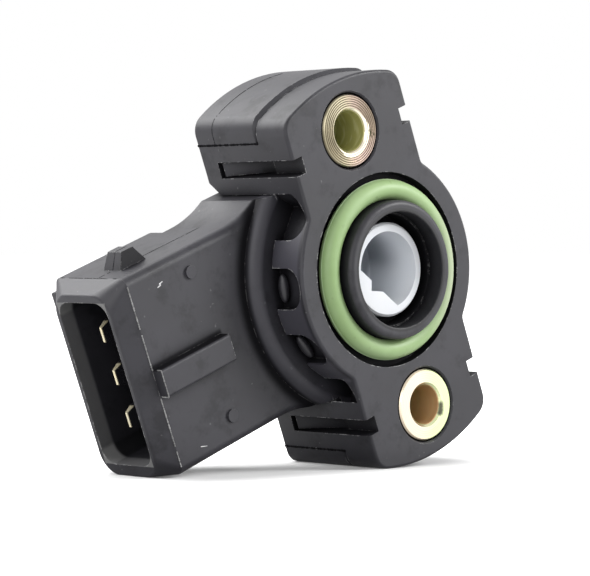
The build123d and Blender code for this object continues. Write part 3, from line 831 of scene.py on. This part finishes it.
# thin broken flash and seams left by the mould: crumbs along a path, kept where a noise is high
crumbs = dict(patchScale=900.0, smallest=0.5, largest=1.1)
flash = Grower("mouldFlash", Spacing="Float", Size="Float", Gaps="Float", Seed="Int", Finish="Material")
flashRoute = flash.node("GeometryNodeMeshToCurve", Mesh=flash.given("Path"))
flashRoute = flash.node(
    "GeometryNodeResampleCurve", dict(mode="LENGTH"), Curve=flashRoute, Length=flash.given("Spacing")
)
crumb = flash.node("GeometryNodeMeshIcoSphere", Radius=flash.given("Size"), Subdivisions=1)
patch = flash.node(
    "ShaderNodeTexNoise",
    dict(noise_dimensions="4D"),
    W=flash.given("Seed"),
    Scale=crumbs["patchScale"],
    Detail=2.0,
)
kept = flash.node("FunctionNodeCompare", in0=patch, in1=flash.given("Gaps"))
bulk = flash.node(
    "FunctionNodeRandomValue",
    out=1,
    in2=crumbs["smallest"],
    in3=crumbs["largest"],
    Seed=flash.given("Seed"),
)
strewn = flash.node(
    "GeometryNodeInstanceOnPoints", Points=flashRoute, Selection=kept, Instance=crumb, Scale=bulk
)
flash.end(strewn)

flashFinish = plainFinish("flashPlastic", pale(0.20), pale(0.42), 0.0, 0.5, 900)
seamFinish = plainFinish("seamShade", grey(0.003), grey(0.006), 0.0, 0.8, 900, 0.1)
shroudEnd = dict(reach=-31.1, top=11.07, low=-11.67, front=-6.15, corner=1.0)
keyEnd = dict(top=0.6, low=-2.5, front=-4.65)
lugShape = dict(reach=-27.05, foot=1.85, head=0.8, height=1.8)
ear = dict(
    half=9.3,
    reach=22.4,
    rise=0.45,
    corner=2.0,
    flank=1.1,
    end=radians(8),
    cornerSteps=8,
    crownSteps=24,
)
parting = dict(plug=-10.75, ear=-12.0, neck=-14.6, stop=0.1, shroud=(-7.6, -17.2))
armSeam = dict(side=-9.28, high=18.4, front=-4.9, back=-14.9)

# round the ear: up its flank, over the corner and along the crown
earInner = ear["half"] - ear["corner"]
earTurn = asin(earInner / (ear["reach"] - ear["corner"]))
shoulder = (ear["reach"] - ear["corner"]) * cos(earTurn) + ear["rise"]
earWay = [(-ear["half"], shoulder - ear["flank"])]
for share in range(ear["cornerSteps"] + 1):
    t = (pi / 2 - earTurn) * share / ear["cornerSteps"]
    earWay.append((-earInner - ear["corner"] * cos(t), shoulder + ear["corner"] * sin(t)))
for share in range(1, ear["crownSteps"] + 1):
    t = earTurn - (earTurn + ear["end"]) * share / ear["crownSteps"]
    earWay.append((-ear["reach"] * sin(t), ear["rise"] + ear["reach"] * cos(t)))

# along the plug's top and over its lug
plugWay = [
    (parting["neck"], 0),
    (lugShape["reach"] + lugShape["foot"], 0),
    (lugShape["reach"] + lugShape["head"], lugShape["height"]),
    (lugShape["reach"] - lugShape["head"], lugShape["height"]),
    (lugShape["reach"] - lugShape["foot"], 0),
    (shroudEnd["reach"] + parting["stop"], 0),
]

# down the shroud's edge and round the end of its key
flashWay = [
    (shroudEnd["top"] - shroudEnd["corner"], shroudEnd["front"]),
    (keyEnd["top"], shroudEnd["front"]),
    (keyEnd["top"], keyEnd["front"]),
    (keyEnd["low"], keyEnd["front"]),
    (keyEnd["low"], shroudEnd["front"]),
    (shroudEnd["low"] + shroudEnd["corner"], shroudEnd["front"]),
]
fine = dict(Spacing=0.00006, Size=0.00005, Finish=seamFinish)
mouldLines = dict(
    shroudFlash=dict(
        way=[spot(shroudEnd["reach"], v, a) for v, a in flashWay],
        values=dict(Spacing=0.0001, Size=0.0001, Gaps=0.37, Seed=3, Finish=flashFinish),
    ),
    plugParting=dict(
        way=[spot(u, shroudEnd["top"] + rise, parting["plug"]) for u, rise in plugWay],
        values=dict(Gaps=0.36, Seed=5, **fine),
    ),
    earParting=dict(
        way=[spot(u, v, parting["ear"]) for u, v in earWay],
        values=dict(Gaps=0.40, Seed=8, **fine),
    ),
    shroudParting=dict(
        way=[spot(shroudEnd["reach"], shroudEnd["top"], a) for a in parting["shroud"]],
        values=dict(Gaps=0.42, Seed=11, **fine),
    ),
)
for name, high in dict(upperSeam=armSeam["high"], lowerSeam=-armSeam["high"]).items():
    mouldLines[name] = dict(
        way=[spot(armSeam["side"], high, a) for a in (armSeam["front"], armSeam["back"])],
        values=dict(Spacing=0.0001, Size=0.00015, Gaps=0.28, Seed=14, Finish=seamFinish),
    )
for name, mouldLine in mouldLines.items():
    flash.grow(name, "black_plastic", mouldLine["way"], chain(mouldLine["way"]), **mouldLine["values"])

# floor and light: the floor glows white away from where the part rests, so that its shadow stays near it
room = dict(
    side=3.0,
    floor=0.86,
    bounce=0.38,
    near=0.10,
    far=1.0,
    start=0.006,
    end=0.020,
    rest=(-0.028, 0.007),
    middle=0.009,
    ambient=0.3,
    seen=1.0,
)

floorMesh = bpy.data.meshes.new("floor")
corners = [(x * room["side"], y * room["side"], lowest) for x, y in ((-1, -1), (1, -1), (1, 1), (-1, 1))]
floorMesh.from_pydata(corners, [], [(0, 1, 2, 3)])
floor = bpy.data.objects.new("floor", floorMesh)
bpy.context.collection.objects.link(floor)
ground = Finish(bpy.data.materials.new("paleFloor"))
away = ground.stroke(*((x, room["middle"], lowest) for x in room["rest"]))
lift = room["near"] + ground.step(away, room["start"], room["end"]) * (room["far"] - room["near"])
direct = ground.node("ShaderNodeLightPath", out="Is Camera Ray")
shade = room["bounce"] + direct * (room["floor"] - room["bounce"])
matt = ground.node("ShaderNodeBsdfDiffuse", Color=shade)
glow = ground.node("ShaderNodeEmission", Color=pale(1), Strength=ground.seenRays() * lift)
both = ground.node("ShaderNodeAddShader", in0=matt, in1=glow)
ground.node("ShaderNodeOutputMaterial", Surface=both)
floorMesh.materials.append(ground.owner)

world = bpy.data.worlds.new("studio")
bpy.context.scene.world = world
air = Finish(world)
level = room["ambient"] + air.seenRays() * (room["seen"] - room["ambient"])
sky = air.node("ShaderNodeBackground", Color=pale(1), Strength=level)
air.node("ShaderNodeOutputWorld", Surface=sky)

lamps = dict(
    overhead=dict(at=(-0.2, 0.40, 0.50), aim=(0, 0.008, 0), size=0.7, power=7.6),
    key=dict(at=(0.42, -0.38, 0.32), aim=(0, 0, 0), size=0.24, power=3.2),
    card=dict(at=(0.42, -0.44, 0.05), aim=(0, 0, 0), size=0.5, power=1.1),
    fill=dict(at=(-0.55, -0.30, 0.20), aim=(0, 0, 0), size=0.4, power=1.4),
)
for name, lamp in lamps.items():
    light = bpy.data.lights.new(name, "AREA")
    light.shape = "SQUARE"
    light.size = lamp["size"]
    light.energy = lamp["power"]
    holder = bpy.data.objects.new(name, light)
    holder.location = lamp["at"]
    holder.rotation_euler = (Vector(lamp["aim"]) - Vector(lamp["at"])).to_track_quat("-Z", "Y").to_euler()
    bpy.context.collection.objects.link(holder)

# camera at the photograph's viewing angle
view = dict(
    at=(-0.219701, -0.224659, 0.003602),
    turn=(88.9645, -0.0136, -42.4475),
    lens=170.85,
    sensor=36.0,
    near=0.01,
)
camera = bpy.data.cameras.new("camera")
camera.sensor_fit = "HORIZONTAL"
camera.sensor_width = view["sensor"]
camera.lens = view["lens"]
camera.clip_start = view["near"]
eye = bpy.data.objects.new("camera", camera)
eye.location = view["at"]
eye.rotation_euler = [radians(t) for t in view["turn"]]
bpy.context.collection.objects.link(eye)
bpy.context.scene.camera = eye
bpy.context.scene.view_settings.view_transform = "Standard"
print("stage, lamps and camera set")
